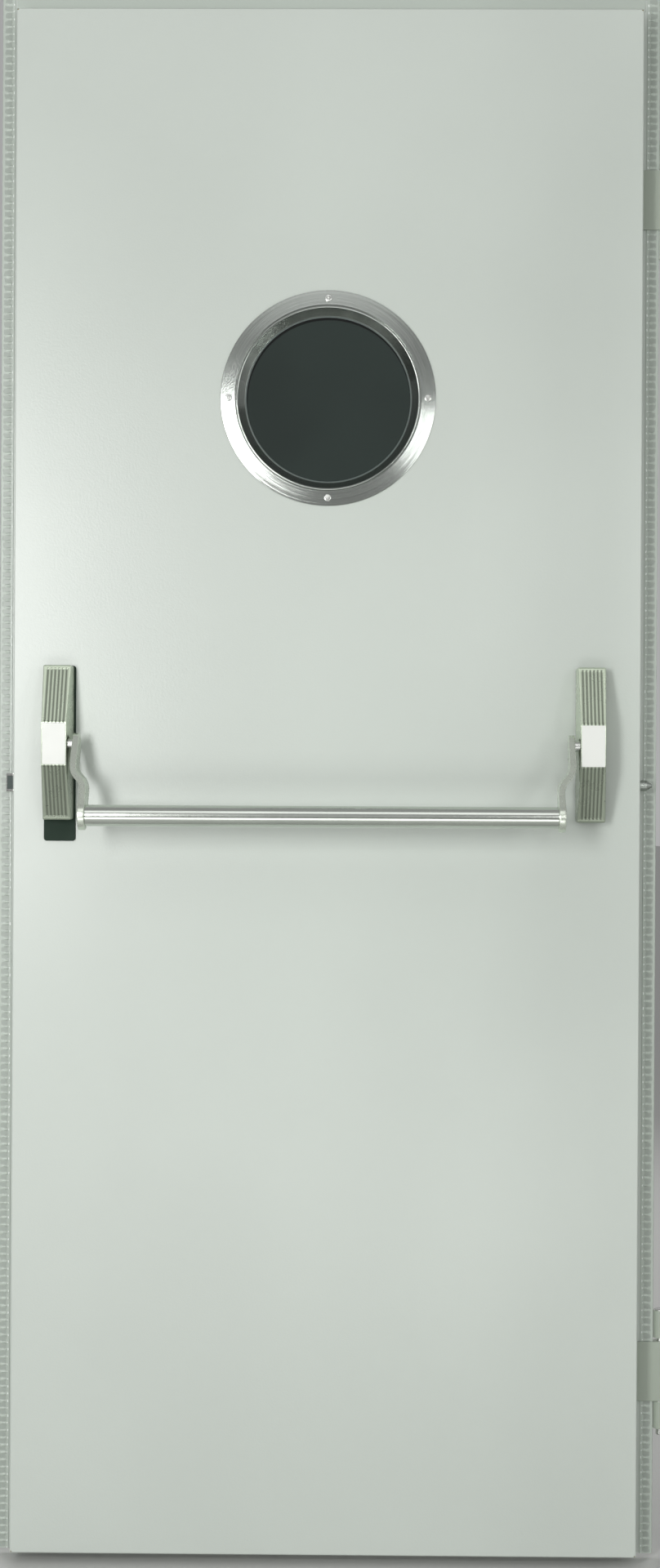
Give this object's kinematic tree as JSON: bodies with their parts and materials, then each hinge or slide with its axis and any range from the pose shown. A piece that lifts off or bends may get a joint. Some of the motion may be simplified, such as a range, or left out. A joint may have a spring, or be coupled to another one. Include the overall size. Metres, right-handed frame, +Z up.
{
  "type": "fire door",
  "caption": "Single steel fire door with folded rebate lip, round glazed porthole, push bar panic device, latch, dog bolt, knuckle hinges and a three-sided wall frame.",
  "frame": {"origin": "middle of the hinge jamb's flange at floor level, on the face that bears on the wall", "axes": "+Z up, +X out of the wall face of the flange and into the wall, +Y along the wall from the lock jamb to the hinge jamb; the leaf stands open at a right angle to the frame, with its push face towards -Y"},
  "size_m": [0.952, 0.919, 2.075],
  "materials": {
    "leaf_paint": "satin powder coat with fine orange peel, light grey green",
    "hem_paint": "satin powder coat over clinched sheet",
    "frame_paint": "satin powder coat, light grey green",
    "hinge_paint": "satin grey paint",
    "device_paint": "satin grey beige paint",
    "facet_satin": "smooth bright satin",
    "black_plate": "matt black",
    "satin_bar": "satin, brushed along its length",
    "brushed_ring": "spun and brushed round the ring",
    "fire_glass": "dark, glossy, slightly green",
    "bright_steel": "bright nickel plate",
    "zinc_steel": "zinc plate",
    "bolt_steel": "dull zinc plate",
    "dark_insert": "dark grey, smooth",
    "intumescent": "matt black strip",
    "core_board": "pressed mineral fibre board, hidden"
  },
  "bodies": {
    "frame": {"hinge_jamb": "frame_paint", "lock_jamb": "frame_paint", "frame_head": "frame_paint", "hinge_side_strip": "intumescent", "lock_side_strip": "intumescent", "head_strip": "intumescent", "strike_plate": "zinc_steel", "lower_hinge_frame_wing": "hinge_paint", "upper_hinge_frame_wing": "hinge_paint", "lower_hinge_pin": "bright_steel", "upper_hinge_pin": "bright_steel"},
    "leaf": {"push_tray": "leaf_paint", "pull_sheet": "leaf_paint", "core": "core_board", "hinge_side_hem": "hem_paint", "lock_side_hem": "hem_paint", "top_hem": "hem_paint", "lower_hinge_leaf_wing": "hinge_paint", "upper_hinge_leaf_wing": "hinge_paint", "forend": "zinc_steel", "dog_bolt": "bolt_steel", "porthole_ring_push": "brushed_ring", "porthole_ring_pull": "brushed_ring", "porthole_liner": "zinc_steel", "porthole_glass": "fire_glass", "lock_side_housing": "device_paint", "hinge_side_housing": "device_paint", "lock_side_plate": "black_plate", "hinge_side_plate": "black_plate", "lock_side_facet": "facet_satin", "hinge_side_facet": "facet_satin"},
    "bar": {"push_bar": "satin_bar", "lock_side_arm": "device_paint", "hinge_side_arm": "device_paint", "lock_side_shaft": "bright_steel", "hinge_side_shaft": "bright_steel"},
    "latch": {"latch_bolt": "bright_steel", "latch_insert": "dark_insert"}
  },
  "joints": [
    {"name": "leaf_swing", "type": "hinge", "parent": "frame", "child": "leaf", "pos_m": [-0.016, 0.005, 1], "axis": [0, 0, 1], "range_deg": [-85, 90]},
    {"name": "bar_push", "type": "hinge", "parent": "leaf", "child": "bar", "pos_m": [-0.459, -0.085, 1.066], "axis": [1, 0, 0], "range_deg": [0, 14], "stiffness_Nm_per_rad": 6, "springref_deg": -20.05},
    {"name": "latch_slide", "type": "slide", "parent": "leaf", "child": "latch", "axis": [1, 0, 0], "range_m": [0, 0.012]}
  ],
  "couplings": [
    {"joint": "latch_slide", "follows": "bar_push", "m_per_rad": 0.04907}
  ]
}
